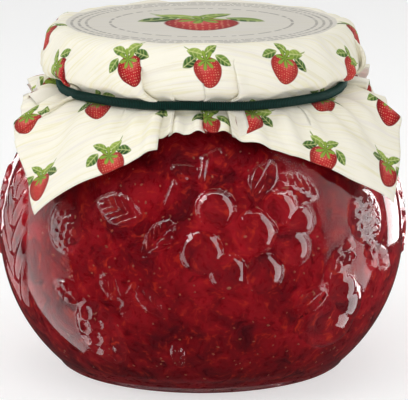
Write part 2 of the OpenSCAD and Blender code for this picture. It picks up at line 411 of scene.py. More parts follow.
def printed_panel(node, ground, flat, across, down, reach):
    """Round panel for the lid: a grey tint, rings of plain fine dashes and one large fruit."""
    tinted = node("Mix", [0.62, ground, linear_colour("#cfcbc6")], data_type="RGBA")
    size = (PANEL_FRUIT, PANEL_FRUIT, PANEL_FRUIT)
    spot = node("Mapping", {"Vector": flat, "Location": (0.0, -0.5, 0.0), "Scale": size},
                vector_type="TEXTURE")
    with_fruit = printed_fruit(node, tinted, spot, 0.6)
    core = node("MapRange", [reach, 21.0, 21.5, 1.0, 0.0])
    panel = node("Mix", [core, tinted, with_fruit], data_type="RGBA")
    around = node("Math", [down, across], operation="ARCTAN2")
    for ring, changes in PANEL_RINGS:
        off = node("Math", [reach, ring], operation="SUBTRACT")
        off = node("Math", [off], operation="ABSOLUTE")
        line = node("MapRange", [off, 0.25, 0.5, 0.55, 0.0])
        step = node("Math", [around, changes], operation="MULTIPLY")
        beat = node("TexNoise", {"W": step, "Scale": 0.35, "Detail": 0.0}, noise_dimensions="1D")
        inked = node("Math", [beat, 0.42], operation="GREATER_THAN")
        dash = node("Math", [line, inked], operation="MULTIPLY")
        panel = node("Mix", [dash, panel, linear_colour("#6f6a66")], data_type="RGBA")
    return panel


def printed_cotton():
    # Fine cotton printed with a repeat of small fruits: matt, slubbed along the weft, and thin
    # enough for light to soften its folds.
    material, node = new_material("printed cotton")
    flat = node("Attribute", attribute_name="flat_cloth", out="Vector")
    across, down, _ = node("SeparateXYZ", [flat]).node.outputs
    reach = node("VectorMath", [flat], operation="LENGTH")

    # slubs: thick yarn every millimetre or so, about 20 mm long, and a fainter lilac set
    weft_way = node("VectorMath", [flat, (1 / 22.2, 1 / 0.87, 1.0)], operation="MULTIPLY")
    slub = node("TexNoise", {"Vector": weft_way, "Scale": 1.0, "Detail": 3.0, "Roughness": 0.6})
    elsewhere = node("VectorMath", [weft_way, (31.0, 17.0, 5.0)], operation="ADD")
    lilac = node("TexNoise", {"Vector": elsewhere, "Scale": 0.9, "Detail": 3.0})
    yellow_band = node("MapRange", [slub, 0.5, 0.68, 0.0, 0.6])
    lilac_band = node("MapRange", [lilac, 0.52, 0.72, 0.0, 0.4])
    ground = node("Mix", [yellow_band, linear_colour("#faf6e6"), linear_colour("#ebe4b6")],
                  data_type="RGBA")
    ground = node("Mix", [lilac_band, ground, linear_colour("#e6dfe0")], data_type="RGBA")
    printed = printed_repeat(node, ground, flat, across, down)
    panel = printed_panel(node, ground, flat, across, down, reach)
    on_panel = node("MapRange", [reach, PANEL_RADIUS - 0.2, PANEL_RADIUS + 0.2, 1.0, 0.0])
    colour = node("Mix", [on_panel, printed, panel], data_type="RGBA")

    # plain weave, 0.35 mm from thread to thread
    thread = 2.0 * math.pi / 0.35
    weft = node("Math", [down, thread], operation="MULTIPLY")
    weft = node("Math", [weft], operation="SINE")
    warp = node("Math", [across, thread], operation="MULTIPLY")
    warp = node("Math", [warp], operation="SINE")
    weave = node("Math", [weft, warp], operation="MULTIPLY")
    relief = node("Math", [weave, 0.35, slub], operation="MULTIPLY_ADD")
    bump = node("Bump", {"Strength": 0.22, "Distance": 0.15 * MM, "Height": relief})
    rough = node("MapRange", {"Value": slub, "To Min": 0.62, "To Max": 0.85})
    surface = node("BsdfPrincipled", {
        "Base Color": colour, "Roughness": rough, "Specular IOR Level": 0.0,
        "Sheen Weight": 0.1, "Sheen Roughness": 0.5, "Normal": bump})
    node("OutputMaterial", {"Surface": surface})
    return material


def cotton_back():
    # The unprinted back of the same cotton: chalky off-white, slubbed like the front.
    material, node = new_material("cotton back")
    flat = node("Attribute", attribute_name="flat_cloth", out="Vector")
    weft_way = node("VectorMath", [flat, (1 / 12.5, 1.0, 1.0)], operation="MULTIPLY")
    slub = node("TexNoise", {"Vector": weft_way, "Scale": 1.0, "Detail": 3.0})
    colour = node("Mix", [slub, linear_colour("#e9e4d6"), linear_colour("#f3efe4")], data_type="RGBA")
    bump = node("Bump", {"Strength": 0.2, "Distance": 0.15 * MM, "Height": slub})
    rough = node("MapRange", {"Value": slub, "To Min": 0.7, "To Max": 0.9})
    surface = node("BsdfPrincipled", {
        "Base Color": colour, "Roughness": rough, "Specular IOR Level": 0.25, "Normal": bump})
    node("OutputMaterial", {"Surface": surface})
    return material


# ---------------------------------------------------------------- raised design on the glass

# Round fruits of the bunch: turn from the front in degrees, height and radius in mm
BUNCH = (
    (4.0, 54.6, 5.5), (15.0, 48.6, 6.0), (0.0, 43.6, 5.9), (7.2, 38.2, 5.2),
    (23.0, 54.2, 4.8), (28.6, 50.6, 4.3), (25.6, 43.6, 5.0), (17.0, 37.6, 5.5),
)
FRUIT_RELIEF = 3.1
# Stalks above the bunch: turn, height, and where each runs to, in mm across and up
STALKS = (
    (0.5, 66.5, 4.0, 2.0), (1.0, 66.0, -0.8, -5.0), (-5.0, 61.5, -3.0, 3.0),
    (-8.0, 60.5, -1.6, -5.2), (-2.0, 64.0, -5.0, 0.6),
)
# Leaves: turn, height, length, width, lean from upright, number of ribs, and relief
LEAVES = (
    (18.5, 61.0, 13.0, 7.5, -38.0, 0, 2.5), (29.5, 58.5, 14.0, 8.5, 60.0, 6, 1.5),
    (-11.5, 47.0, 14.0, 7.0, -38.0, 5, 2.0), (-23.5, 53.5, 15.0, 8.5, 74.0, 6, 2.0),
    (-66.0, 41.0, 44.0, 17.0, 6.0, 6, 1.0), (-40.0, 30.0, 10.5, 6.0, 58.0, 4, 1.5),
    (-26.0, 33.5, 9.0, 4.0, 20.0, 3, 1.625), (-14.0, 30.0, 13.0, 5.5, 42.0, 5, 1.5),
    (-21.5, 26.5, 6.0, 2.4, 15.0, 0, 1.5), (-7.0, 14.5, 10.5, 4.2, 6.0, 4, 1.75),
    (31.0, 28.5, 13.5, 6.0, -52.0, 0, 2.5), (39.0, 37.5, 11.0, 4.2, -30.0, 3, 1.875),
    (44.0, 39.5, 11.0, 4.2, -14.0, 3, 1.875), (54.0, 38.0, 12.0, 4.6, 16.0, 4, 1.75),
    (61.0, 35.0, 11.0, 4.2, 30.0, 4, 1.625), (92.0, 44.0, 30.0, 12.0, -8.0, 5, 0.875),
)
# Seeded fruits: turn, height, length, width, lean, pitch of seeds, relief, and whether seeds are sunk
SEEDED_FRUITS = (
    (-31.0, 19.0, 21.0, 13.5, 14.0, 4.2, 2.4, True), (-41.0, 47.0, 14.0, 11.0, 20.0, 2.3, 1.5, False),
    (53.0, 48.0, 15.0, 14.0, 0.0, 2.2, 1.6, False),
)
# Domes that run together into a pear: turn, height, radius and relief
PEAR = ((41.0, 21.0, 8.8, 3.6), (44.0, 25.0, 7.4, 3.4), (43.0, 30.0, 5.0, 2.8), (41.0, 33.5, 3.3, 1.9))
# Points of the leaf collar on the low seeded fruit, in mm across and up
COLLAR = ((-4.5, 2.6), (-1.5, 5.0), (2.8, 4.2), (4.4, 0.6), (1.5, -4.0))


def dome(u, v, radius, height):
    """Round fruit: the cap of a ball."""
    ball = (radius * radius + height * height) / (2.0 * height)
    square = np.clip(ball * ball - u * u - v * v, 0.0, None)
    return np.clip(np.sqrt(square) - ball + height, 0.0, None)


def leaf_lines(u, v, length, width, lean, ribs, height):
    """Leaf with a cut middle vein and slanting ribs; lean is from upright, in degrees."""
    a = math.radians(lean)
    along = -v * math.cos(a) + u * math.sin(a)
    over = u * math.cos(a) + v * math.sin(a)
    half = width / 2 * (1.0 - (2.0 * along / length) ** 2)
    edge = smooth_step(half - np.abs(over), 0.0, 0.7)
    edge = np.where(np.abs(along) < length / 2, edge, 0.0)
    rib = np.abs(np.sin((along + 1.3 * np.abs(over)) * math.pi * ribs / length)) ** 0.8
    vein = 1.0 - 0.7 * np.exp(-(over / 0.45) ** 2)
    return height * edge * vein * (0.2 + 0.8 * rib) if ribs else height * edge * vein


def seeded_fruit(u, v, length, width, lean, pitch, height, sunk):
    """Oval fruit covered with small drupes, or with sunk seeds."""
    a = math.radians(lean)
    along = -v * math.cos(a) + u * math.sin(a)
    over = u * math.cos(a) + v * math.sin(a)
    rho = np.hypot(along / (length / 2), over / (width / 2))
    body = np.sqrt(np.clip(1.0 - rho ** 2.4, 0.0, None))
    row = np.round(along / (pitch * 0.87))
    shift = np.where(np.abs(row) % 2 == 1, pitch / 2, 0.0)
    near_over = (over - shift) - pitch * np.round((over - shift) / pitch)
    near_along = along - row * pitch * 0.87
    cell = np.hypot(near_over, near_along) / (pitch / 2)
    drupe = np.sqrt(np.clip(1.0 - cell ** 2, 0.0, None))
    if sunk:
        pit = smooth_step(cell, 0.95, 0.45)
        return body * (height - 0.9 * pit)
    return body * (0.6 * height + 0.55 * height * drupe)


def stalk(u, v, to_u, to_v, thick, height):
    """Short round stalk from the middle of the place to (to_u, to_v)."""
    span = to_u * to_u + to_v * to_v
    t = np.clip((u * to_u + v * to_v) / span, 0.0, 1.0)
    gap = np.hypot(u - t * to_u, v - t * to_v)
    return height * np.sqrt(np.clip(1.0 - (gap / thick) ** 2, 0.0, None))


def relief_height(turn, height):
    """How far the design stands out of the glass, in mm, at each turn (degrees) and height (mm)."""
    out = np.zeros_like(turn)
    rise = np.arcsin(np.clip((height - BELLY_HEIGHT) / BELLY_ARC, -1.0, 1.0))
    radius = ARC_CENTRE + BELLY_ARC * np.cos(rise)

    def place(at_turn, at_height):
        away = (turn - at_turn + 180.0) % 360.0 - 180.0
        at_rise = math.asin((at_height - BELLY_HEIGHT) / BELLY_ARC)
        return np.radians(away) * radius, (rise - at_rise) * BELLY_ARC

    for back in (0.0, 180.0):
        for t, h, r in BUNCH:
            out = np.maximum(out, dome(*place(t + back, h), r, FRUIT_RELIEF * min(1.0, r / 5.2)))
        for t, h, to_u, to_v in STALKS:
            out = np.maximum(out, stalk(*place(t + back, h), to_u, to_v, 0.9, 0.9))
        for t, h, *leaf in LEAVES:
            out = np.maximum(out, leaf_lines(*place(t + back, h), *leaf))
        for t, h, *fruit in SEEDED_FRUITS:
            out = np.maximum(out, seeded_fruit(*place(t + back, h), *fruit))
        for t, h, r, high in PEAR:
            out = np.maximum(out, dome(*place(t + back, h), r, high))
        out = np.maximum(out, stalk(*place(40.0 + back, 33.0), -2.0, 5.0, 0.8, 0.9))
        for to_u, to_v in COLLAR:
            out = np.maximum(out, stalk(*place(-21.5 + back, 29.8), to_u, to_v, 0.7, 0.8))
    return out


# ---------------------------------------------------------------- glass jar

COLUMNS = 560
BELLY_ROWS = 136
INNER_ROWS = 13
HOLLOW = 0.9
FOOT_RADIUS = 33.5
HEEL_HEIGHT = 2.2
RIM_ROUND = 2.2
CURL_ROOM = 1.1


def arc_radius(height):
    """Radius of the smooth side at a height."""
    return ARC_CENTRE + math.sqrt(BELLY_ARC ** 2 - (height - BELLY_HEIGHT) ** 2)


def glass_outline():
    """Radius and height all the way round the wall, and which stretch is the embossed side."""
    points = [(12.0, HOLLOW), (24.0, HOLLOW), (27.0, 0.0), (FOOT_RADIUS, 0.0)]
    # rounded heel between the base and the side
    heel = arc_radius(HEEL_HEIGHT)
    for k in range(1, 5):
        a = math.pi / 2 * k / 5
        points.append((FOOT_RADIUS + (heel - FOOT_RADIUS) * math.sin(a), HEEL_HEIGHT * (1 - math.cos(a))))
    start = len(points)
    first = math.asin((HEEL_HEIGHT - BELLY_HEIGHT) / BELLY_ARC)
    last = math.asin((SHOULDER_HEIGHT - BELLY_HEIGHT) / BELLY_ARC)
    for k in range(BELLY_ROWS + 1):
        # rows lie closer together where the design is
        q = k / BELLY_ROWS
        q += 0.05 * math.sin(2.0 * math.pi * q)
        a = first + (last - first) * q
        points.append((ARC_CENTRE + BELLY_ARC * math.cos(a), BELLY_HEIGHT + BELLY_ARC * math.sin(a)))
    end = len(points)
    finish = LID_RADIUS - CURL_ROOM
    points += [(NECK_RADIUS, 78.0), (NECK_RADIUS, 84.5), (NECK_RADIUS + 0.4, 85.8), (finish, 86.2),
               (finish, RIM_HEIGHT - RIM_ROUND)]
    for k in range(1, 5):
        a = math.pi / 2 * k / 4
        points.append((finish - RIM_ROUND * (1 - math.cos(a)), RIM_HEIGHT - RIM_ROUND * (1 - math.sin(a))))
    mouth = NECK_RADIUS - WALL
    points += [(mouth + 0.8, RIM_HEIGHT), (mouth, RIM_HEIGHT - 0.8), (mouth, 84.0)]
    arc = BELLY_ARC - WALL
    inner_last = math.acos((mouth - ARC_CENTRE) / arc)
    inner_first = math.asin((BASE_THICKNESS + 1.5 - BELLY_HEIGHT) / arc)
    for k in range(INNER_ROWS):
        a = inner_last + (inner_first - inner_last) * k / (INNER_ROWS - 1)
        points.append((ARC_CENTRE + arc * math.cos(a), BELLY_HEIGHT + arc * math.sin(a)))
    points += [(34.0, BASE_THICKNESS), (20.0, BASE_THICKNESS)]
    return np.array(points), start, end


def make_glass():
    outline, start, end = glass_outline()
    # columns lie closer together at the front and the back
    even = np.arange(COLUMNS) * 2.0 * math.pi / COLUMNS
    turns = np.degrees(even - 0.17 * np.sin(2.0 * even))
    angle = np.radians(turns - 90.0)
    radius = np.repeat(outline[:, :1], COLUMNS, axis=1)
    height = np.repeat(outline[:, 1:], COLUMNS, axis=1)
    side_heights = height[start:end]
    raised = relief_height(np.tile(turns, (end - start, 1)), side_heights)
    rise = np.arcsin((side_heights - BELLY_HEIGHT) / BELLY_ARC)
    # the design fades out at the heel and at the shoulder
    keep = smooth_step(side_heights, 2.5, 7.0) * smooth_step(side_heights, 75.5, 71.0)
    radius[start:end] += raised * keep * np.cos(rise)
    height[start:end] += raised * keep * np.sin(rise)
    points = np.stack([radius * np.cos(angle), radius * np.sin(angle), height], -1).reshape(-1, 3)
    points = np.vstack([points, [(0.0, 0.0, HOLLOW), (0.0, 0.0, BASE_THICKNESS)]])
    piece = mesh_piece("glass_body", points, closed_faces(len(outline), COLUMNS), pressed_glass())
    bright = np.zeros_like(radius)
    bright[start:end] = smooth_step(raised, 0.02, 0.3)
    stored = piece.data.attributes.new("raised", "FLOAT", "POINT")
    stored.data.foreach_set("value", np.append(bright.reshape(-1), [0.0, 0.0]).astype(np.float32))
    return piece


# ---------------------------------------------------------------- jam and seeds

JAM_REACH = 0.15
JAM_ROWS = 60
JAM_COLUMNS = 160


def make_jam():
    """The filling: it follows the inside of the wall and reaches a little into it."""
    arc = BELLY_ARC - WALL + JAM_REACH
    mouth = NECK_RADIUS - WALL + JAM_REACH
    shoulder = math.acos((mouth - ARC_CENTRE) / arc)
    foot = math.asin((BASE_THICKNESS + 1.4 - BELLY_HEIGHT) / arc)
    outline = [(20.0, BASE_THICKNESS - JAM_REACH),
               (34.0, BASE_THICKNESS - JAM_REACH)]
    for k in range(JAM_ROWS + 1):
        a = foot + (shoulder - foot) * k / JAM_ROWS
        outline.append((ARC_CENTRE + arc * math.cos(a), BELLY_HEIGHT + arc * math.sin(a)))
    outline += [(mouth, 82.0), (mouth, jam_top - 0.6), (mouth - 0.6, jam_top), (22.0, jam_top),
                (10.0, jam_top)]
    outline = np.array(outline)
    angle = np.arange(JAM_COLUMNS) * 2.0 * math.pi / JAM_COLUMNS
    points = np.stack([outline[:, :1] * np.cos(angle), outline[:, :1] * np.sin(angle),
                       np.repeat(outline[:, 1:], JAM_COLUMNS, axis=1)], -1)
    # the free top is not quite level
    top = outline[:, 1] > jam_top - 0.1
    points[top, :, 2] += 0.3 * np.sin(points[top, :, 0] / 9.0) * np.cos(points[top, :, 1] / 7.0) - 0.3
    points = np.vstack([points.reshape(-1, 3),
                        [(0.0, 0.0, BASE_THICKNESS - JAM_REACH), (0.0, 0.0, jam_top - 0.3)]])
    return mesh_piece("jam_filling", points, closed_faces(len(outline), JAM_COLUMNS), fruit_jam())


def make_seeds(count=620):
    """Seeds that lie against the inside of the glass, as one mesh of small pointed ovals."""
    rings, sides = 6, 8
    shape = []
    for k in range(1, rings):
        q = k / rings
        wide = math.sin(math.pi * q) ** 0.8 * (1.0 - 0.35 * q)
        for s in range(sides):
            a = 2.0 * math.pi * s / sides
            shape.append((0.42 * wide * math.cos(a), 0.3 * wide * math.sin(a), 1.3 * (q - 0.5)))
    shape += [(0.0, 0.0, -0.65), (0.0, 0.0, 0.65)]
    one_seed = closed_faces(rings - 1, sides)
    points = []
    faces = []
    arc = BELLY_ARC - WALL + JAM_REACH
    for n in range(count):
        a = rng.uniform(-0.78, 0.92)
        turn = rng.uniform(0.0, 2.0 * math.pi)
        out = Vector((math.cos(a) * math.cos(turn), math.cos(a) * math.sin(turn), math.sin(a)))
        middle = Vector((ARC_CENTRE * math.cos(turn), ARC_CENTRE * math.sin(turn), BELLY_HEIGHT))
        middle += out * (arc + rng.uniform(-0.12, 0.05))
        lie = out.to_track_quat("Y", "Z").to_matrix() @ Matrix.Rotation(
            rng.uniform(0.0, 2.0 * math.pi), 3, "Y")
        lie = lie @ Matrix.Rotation(rng.uniform(-0.5, 0.5), 3, "X")
        size = rng.uniform(0.55, 0.85)
        first = len(points)
        for p in shape:
            points.append(middle + lie @ (Vector(p) * size))
        faces += [tuple(first + corner for corner in face) for face in one_seed]
    return mesh_piece("jam_seeds", np.array([tuple(p) for p in points]), faces, jam_seed())


# ---------------------------------------------------------------- cloth cover

HALF_SIDE = 68.5
CLOTH = 0.22
CLOTH_COLUMNS = 640
BAND_ROWS = 30
SKIRT_ROWS = 26
# Flat radius of the top, its rounded edge, and how far the cloth stands off the lid
FLAT_TOP = 38.4
EDGE_ROUND = 3.2
OFF_LID = 0.35
# One layer of a pleat, the steepest the skirt hangs, and how far it is twisted on the lid
LAYER = 0.5
STEEPEST = 86.0
TWIST = 1.5

# Corner lines of the square, as flat direction and as the turn where each hangs, in degrees
CORNER_FLAT = (-45.0, 45.0, 135.0, 225.0)
CORNER_HANG = (-48.0, 59.0, 141.0, 223.0)
# Pleats between corner lines: flat direction from the line before, share, and which side lies on top
PLEATS = (
    ((10.0, 0.4, 1), (21.5, 3.0, 1), (33.0, 0.8, 1), (43.0, 0.8, -1), (54.5, 3.0, -1), (79.0, 0.4, -1)),
    ((14.0, 0.6, 1), (29.0, 1.6, -1), (47.0, 0.6, 1), (62.0, 1.7, -1), (78.0, 0.6, -1)),
    ((11.0, 0.5, 1), (26.0, 1.5, 1), (42.0, 0.7, -1), (57.0, 1.6, 1), (78.0, 0.7, -1)),
    ((12.0, 0.6, 1), (28.0, 1.7, -1), (46.0, 0.6, 1), (60.0, 1.5, -1), (79.0, 0.6, 1)),
)
# How the skirt leaves the cord: turn, slope below level in degrees, and bend in degrees per mm
SKIRT = (
    (-150.0, 14.0, 1.1), (-120.0, 4.0, 1.0), (-90.0, 2.0, 1.2), (-70.0, 10.0, 1.9),
    (-48.0, 30.0, 1.35), (-20.0, 38.0, 1.1), (5.0, 40.0, 1.1), (22.0, 42.0, 1.2), (40.0, 35.0, 1.4),
    (59.0, 20.0, 1.75), (75.0, 10.0, 1.7), (95.0, 2.0, 0.8), (112.0, -6.0, 0.9), (141.0, 12.0, 1.3),
    (170.0, 30.0, 1.2), (190.0, 34.0, 1.1),
)


def around_table(turn, column):
    """Smooth values round the jar from the SKIRT table."""
    at = np.array([row[0] for row in SKIRT])
    value = np.array([row[column] for row in SKIRT])
    at = np.concatenate([at - 360.0, at, at + 360.0])
    value = np.tile(value, 3)
    t = (np.asarray(turn) + 180.0) % 360.0 - 180.0
    k = np.clip(np.searchsorted(at, t) - 1, 0, len(at) - 2)
    q = (t - at[k]) / (at[k + 1] - at[k])
    q = q * q * (3.0 - 2.0 * q)
    return value[k] * (1.0 - q) + value[k + 1] * q


def covered_path():
    """Radius and height of the cloth against its distance from the middle, down to the cord."""
    top = cover_high - OFF_LID
    out = LID_RADIUS + OFF_LID
    inside = NECK_RADIUS + 0.2
    side = top - EDGE_ROUND - lid_low[2] - 0.3
    path = [(0.0, top), (FLAT_TOP, top)]
    for k in range(1, 9):
        a = math.pi / 2 * k / 8
        path.append((FLAT_TOP + (out - FLAT_TOP) * math.sin(a), top - EDGE_ROUND * (1 - math.cos(a))))
    # the side swells a little, then is drawn in under the lid to the cord
    for q in (0.25, 0.5, 0.75, 1.0):
        path.append((out + 0.5 * math.sin(q * math.pi * 0.8), top - EDGE_ROUND - q * side))
    drop = CORD_HEIGHT + CORD_THICKNESS / 2
    swell, high = path[-1]
    for k in range(1, 9):
        q = k / 8
        path.append((swell + (inside - swell) * (0.5 - 0.5 * math.cos(math.pi * q)) ** 0.9,
                     high + (drop - high) * q))
    path.append((inside, CORD_HEIGHT))
    path.append((inside + 0.1, CORD_HEIGHT - CORD_THICKNESS / 2 - 0.25))
    path = np.array(path)
    run = np.concatenate([[0.0], np.cumsum(np.hypot(*np.diff(path, axis=0).T))])
    return run, path


PATH_RUN, PATH = covered_path()
SKIRT_START = PATH_RUN[-1]


def base_place(distance, turn):
    """Radius, height and downward slope of the cloth at a flat distance and a turn."""
    distance = np.asarray(distance, float)
    r = np.interp(distance, PATH_RUN, PATH[:, 0])
    z = np.interp(distance, PATH_RUN, PATH[:, 1])
    ahead = np.minimum(distance + 0.2, SKIRT_START)
    behind = np.maximum(ahead - 0.4, 0.0)
    dr = np.interp(ahead, PATH_RUN, PATH[:, 0]) - np.interp(behind, PATH_RUN, PATH[:, 0])
    dz = np.interp(ahead, PATH_RUN, PATH[:, 1]) - np.interp(behind, PATH_RUN, PATH[:, 1])
    slope = np.degrees(np.arctan2(-dz, dr))
    free = np.maximum(distance - SKIRT_START, 0.0)
    start_slope = around_table(turn, 1)
    bend = around_table(turn, 2)
    end_slope = np.minimum(start_slope + bend * free, STEEPEST)
    limit = np.maximum((STEEPEST - start_slope) / bend, 0.0)
    curved = np.minimum(free, limit)
    per = bend * math.pi / 180.0
    s0, s1 = np.radians(start_slope), np.radians(start_slope + bend * curved)
    straight = free - curved
    steepest = math.radians(STEEPEST)
    r_free = PATH[-1, 0] + (np.sin(s1) - np.sin(s0)) / per + straight * math.cos(steepest)
    z_free = PATH[-1, 1] + (np.cos(s1) - np.cos(s0)) / per - straight * math.sin(steepest)
    hangs = distance > SKIRT_START
    return (np.where(hangs, r_free, r), np.where(hangs, z_free, z),
            np.where(hangs, end_slope, slope))


def stay_off_glass(radius, height, gap):
    """Pushes places that would be inside the glass out along its side."""
    dx = radius - ARC_CENTRE
    dz = height - BELLY_HEIGHT
    away = np.hypot(dx, dz)
    wanted = BELLY_ARC + gap
    low = (away < wanted) & (height < SHOULDER_HEIGHT + 1.5) & (radius > NECK_RADIUS - 2.0)
    scale = np.where(low, wanted / np.maximum(away, 1.0), 1.0)
    return ARC_CENTRE + dx * scale, BELLY_HEIGHT + dz * scale


def cloth_turns(flat, distance):
    """Turn about the jar and layer height of each cloth column at one distance, with its pleats."""
    gathered = smooth_step(distance, 40.0, SKIRT_START)
    turn = np.zeros_like(flat)
    layer = np.zeros_like(flat)
    for quarter in range(4):
        flat_from = CORNER_FLAT[quarter]
        hang_from = flat_from + TWIST + (CORNER_HANG[quarter] - flat_from - TWIST) * gathered
        next_hang = CORNER_HANG[(quarter + 1) % 4] + (360.0 if quarter == 3 else 0.0)
        corner = flat_from + 90.0 + TWIST
        hang_to = corner + (next_hang - corner) * gathered
        inside = (flat >= flat_from) & (flat < flat_from + 90.0)
        a = flat[inside] - flat_from
        radius = base_place(distance, hang_from + 45.0)[0]
        if distance > SKIRT_START:
            across = (5.0, 25.0, 45.0, 65.0, 85.0)
            radius = np.mean([base_place(distance, hang_from + further)[0] for further in across])
        spread = max(distance / max(radius, 1.0), 1.0)
        hidden = max((90.0 - (hang_to - hang_from) / spread) / 2, 0.0)
        # past the cord the pleats near the corners open out
        beyond = max(distance - SKIRT_START, 0.0)
        shares = []
        for middle, share, side in PLEATS[quarter]:
            near_corner = abs(middle - 45.0) / 45.0
            shares.append(share * math.exp(-beyond / 5.0 * smooth_step(near_corner, 0.6, 0.9)))
        total = sum(shares)
        if hidden == 0.0:
            spread = (hang_to - hang_from) / 90.0
        back = np.zeros_like(a)
        level = np.full_like(a, 0.5)
        used = []
        for (middle, share, side), part in zip(PLEATS[quarter], shares):
            width = hidden * part / total
            back += np.clip(a - middle, 0.0, width)
            used.append((middle, width, side))
        place = spread * (a - 2.0 * back)
        # layers: over, middle and under where the cloth lies three thick
        for middle, width, side in used:
            if width < 1e-6:
                continue
            crest = np.interp(middle, a, place)
            trough = np.interp(middle + width, a, place)
            reach = (place - crest) * math.radians(1.0) * radius
            overlap = abs(crest - trough) * math.radians(1.0) * radius
            strong = smooth_step(overlap, 0.05, 0.7)
            before = a <= middle
            after = a >= middle + width
            between = ~before & ~after
            up = 1.0 - smooth_step(-reach - overlap, 0.0, 3.5)
            down = 1.0 - smooth_step(reach + overlap * 2, overlap, overlap + 3.5)
            toward = 1.5 * strong
            if side > 0:
                level = np.where(before, level + toward * up, level)
                level = np.where(after, level - 0.5 * strong * down, level)
            else:
                level = np.where(before, level - 0.5 * strong * up, level)
                level = np.where(after, level + toward * down, level)
            level = np.where(between, 1.0 * strong + 0.5 * (1.0 - strong), level)
        turn[inside] = hang_from + place
        layer[inside] = np.clip(level, 0.0, 2.2)
    return turn, layer


def soft_noise(u, v, seed, count=14, low=0.05, high=0.16):
    """Sum of slow waves over the flat cloth, about -1 to 1; u and v in mm."""
    waves = np.random.default_rng(seed)
    total = np.zeros_like(u)
    for k in range(count):
        rate = waves.uniform(low, high) * 2.0 * math.pi
        way = waves.uniform(0.0, 2.0 * math.pi)
        total += np.sin(rate * (u * math.cos(way) + v * math.sin(way)) + waves.uniform(0.0, 6.28))
    return total / math.sqrt(count)


def cloth_grid():
    """Flat direction of each column, how far the cloth reaches there, and each point's distance."""
    flat = -45.0 + np.arange(CLOTH_COLUMNS) * 360.0 / CLOTH_COLUMNS
    limit = HALF_SIDE / np.maximum(np.abs(np.cos(np.radians(flat))), np.abs(np.sin(np.radians(flat))))
    inner = [6.0, 12.0, 24.0, 32.0, 36.0, *np.linspace(38.0, SKIRT_START, BAND_ROWS)]
    rows = [np.full(CLOTH_COLUMNS, reach) for reach in inner]
    for k in range(1, SKIRT_ROWS + 1):
        rows.append(SKIRT_START + (limit - SKIRT_START) * k / SKIRT_ROWS)
    return flat, limit, np.array(rows)


def pleated(flat, distance):
    """Turn and layer of every point, read off tables of the pleats made every half millimetre."""
    step = 0.5
    reaches = np.arange(0.0, 99.0, step)
    table = [cloth_turns(flat, reach) for reach in reaches]
    turns = np.array([turn for turn, _ in table])
    layers = np.array([layer for _, layer in table])
    k = np.clip((distance / step).astype(int), 0, len(reaches) - 2)
    q = distance / step - k
    column = np.arange(CLOTH_COLUMNS)[None, :]
    turn = turns[k, column] * (1 - q) + turns[k + 1, column] * q
    layer = layers[k, column] * (1 - q) + layers[k + 1, column] * q
    return turn, layer


def cloth_lift(distance, turn, layer, limit, flat_x, flat_y):
    """How far each point stands off the smooth path, in mm."""
    under_cord = SKIRT_START - 1.3
    free = np.maximum(distance - SKIRT_START, 0.0)
    above = np.clip(under_cord - distance, 0.0, None)
    off_top = 1.0 - smooth_step(distance, 40.0, 36.0)
    off_cord = 1.0 - np.exp(-((distance - under_cord) / 1.6) ** 2)
    way_round = np.radians(turn)
    wander = way_round + 0.05 * np.sin(way_round * 5.0 + 1.0)
    # pleats lie thicker on the band and open out on the skirt
    on_band = np.exp(-((distance - 49.0) / 4.5) ** 2)
    spread = 1.0 + 0.9 * on_band + 1.2 * np.clip(free / 8.0, 0.0, 1.0)
    lift = layer * LAYER * spread
    # puckers on the band
    pucker = soft_noise(flat_x, flat_y, 3, low=0.04, high=0.12) * 0.3
    lift += pucker * off_top * np.clip(1.0 - free / 4.0, 0.0, 1.0) * off_cord
    # folds that run up from the cord and die away on the band
    run_up = (0.5 + 0.5 * np.sin(wander * 31.0)) * np.exp(-above / 5.0) * off_top
    run_up += 0.6 * (0.5 + 0.5 * np.sin(wander * 13.0 + 2.0)) * np.exp(-((above - 8.0) / 5.0) ** 2)
    lift += 0.8 * np.where(distance < under_cord, run_up, 0.0) * off_cord
    # flutes below the cord, deepest where the skirt is short
    short = smooth_step(limit[None, :], 88.0, 72.0)
    flute = np.sin(wander * 37.0 + 0.8) * (0.35 + 0.65 * short)
    lift += 2.1 * flute * smooth_step(free, 0.3, 5.0) * np.exp(-free / 14.0)
    # slow swells that grow towards the edge of the skirt
    lift += soft_noise(flat_x, flat_y, 9, low=0.018, high=0.05) * 1.1 * smooth_step(free, 1.0, 16.0)
    # the cloth bridges from pleat to pleat over the edge of the lid
    bridge = np.sin(way_round * 9.0 + 1.0) + 0.6 * np.sin(way_round * 14.0 + 3.0)
    lift += 0.25 * bridge * np.exp(-((distance - 43.0) / 4.0) ** 2)
    lift = np.where(distance < 37.0, 0.0, lift)
    # over the lid the cloth can't sink below its first layer
    return np.where(distance < 56.0, np.maximum(lift, 0.0), lift)


